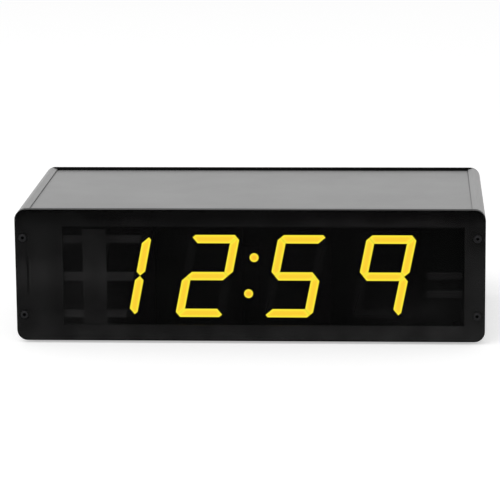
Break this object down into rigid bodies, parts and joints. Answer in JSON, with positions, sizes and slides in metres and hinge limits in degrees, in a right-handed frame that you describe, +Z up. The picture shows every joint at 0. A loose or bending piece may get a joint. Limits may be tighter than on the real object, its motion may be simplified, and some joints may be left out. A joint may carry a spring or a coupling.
{
  "type": "timecode display",
  "caption": "Free-standing timecode display in an extruded case: smoked window, large yellow seven-segment digits with a colon, rear jacks, dimmer knob and slide switches",
  "frame": {"origin": "on the surface that the feet stand on, under the middle of the bounding box", "axes": "+X to the right as seen from the front, +Y from the front to the back, +Z up; the window faces -Y"},
  "size_m": [0.3112, 0.1722, 0.0916],
  "materials": {
    "smoked_acrylic": "smoked, glossy",
    "black_anodised": "black anodised, satin",
    "satin_aluminium": "satin grey",
    "steel": "plain steel",
    "nickel": "nickel plated",
    "black_rubber": "matte",
    "board": "coated circuit board",
    "black_plastic": "matte",
    "grey_plastic": "matte",
    "white_plastic": "satin",
    "ribbon": "flat cable",
    "light_moulding": "lit yellow segments"
  },
  "bodies": {
    "case": {"side_rail_left": "satin_aluminium", "side_rail_right": "satin_aluminium", "top_cover": "satin_aluminium", "bottom_cover": "satin_aluminium", "front_window": "smoked_acrylic", "front_bezel": "black_anodised", "rear_panel": "black_anodised", "front_screw_1": "steel", "front_screw_2": "steel", "front_screw_3": "steel", "front_screw_4": "steel", "rear_screw_1": "steel", "rear_screw_2": "steel", "rear_screw_3": "steel", "rear_screw_4": "steel", "display_standoff_1": "steel", "display_standoff_2": "steel", "display_standoff_3": "steel", "display_standoff_4": "steel", "foot_1": "black_rubber", "foot_2": "black_rubber", "foot_3": "black_rubber", "foot_4": "black_rubber", "display_board": "board", "controller_board": "board", "digit_housing_1": "black_plastic", "digit_housing_2": "black_plastic", "digit_housing_3": "black_plastic", "digit_housing_4": "black_plastic", "colon_housing": "black_plastic", "display_header": "black_plastic", "controller_header": "black_plastic", "controller_chip": "black_plastic", "voltage_regulator": "black_plastic", "smoothing_capacitor": "black_plastic", "power_jack": "black_plastic", "dimmer_body": "black_plastic", "mode_switch_body": "black_plastic", "digit_segments_1": "light_moulding", "digit_segments_2": "light_moulding", "digit_segments_3": "light_moulding", "digit_segments_4": "light_moulding", "colon_dots": "light_moulding", "left_mask": "grey_plastic", "resistor_network_1": "grey_plastic", "resistor_network_2": "grey_plastic", "ribbon_cable": "ribbon", "timecode_in_jack": "nickel", "timecode_in_nut": "nickel", "loop_out_jack": "nickel", "loop_out_nut": "nickel", "power_jack_pin": "nickel", "dimmer_nut": "nickel", "timecode_in_contact": "white_plastic", "loop_out_contact": "white_plastic"},
    "dimmer_knob": {"dimmer_knob": "black_plastic"},
    "mode_switch_lever_1": {"mode_switch_lever_1": "white_plastic"},
    "mode_switch_lever_2": {"mode_switch_lever_2": "white_plastic"},
    "mode_switch_lever_3": {"mode_switch_lever_3": "white_plastic"},
    "mode_switch_lever_4": {"mode_switch_lever_4": "white_plastic"}
  },
  "joints": [
    {"name": "dimmer_turn", "type": "hinge", "parent": "case", "child": "dimmer_knob", "pos_m": [0.00942, 0.0777, 0.03566], "axis": [0, 1, 0], "range_deg": [-140, 140]},
    {"name": "mode_switch_lever_1_slide", "type": "slide", "parent": "case", "child": "mode_switch_lever_1", "axis": [0, 0, 1], "range_m": [0, 0.0016]},
    {"name": "mode_switch_lever_2_slide", "type": "slide", "parent": "case", "child": "mode_switch_lever_2", "axis": [0, 0, 1], "range_m": [0, 0.0016]},
    {"name": "mode_switch_lever_3_slide", "type": "slide", "parent": "case", "child": "mode_switch_lever_3", "axis": [0, 0, 1], "range_m": [0, 0.0016]},
    {"name": "mode_switch_lever_4_slide", "type": "slide", "parent": "case", "child": "mode_switch_lever_4", "axis": [0, 0, 1], "range_m": [0, 0.0016]}
  ]
}
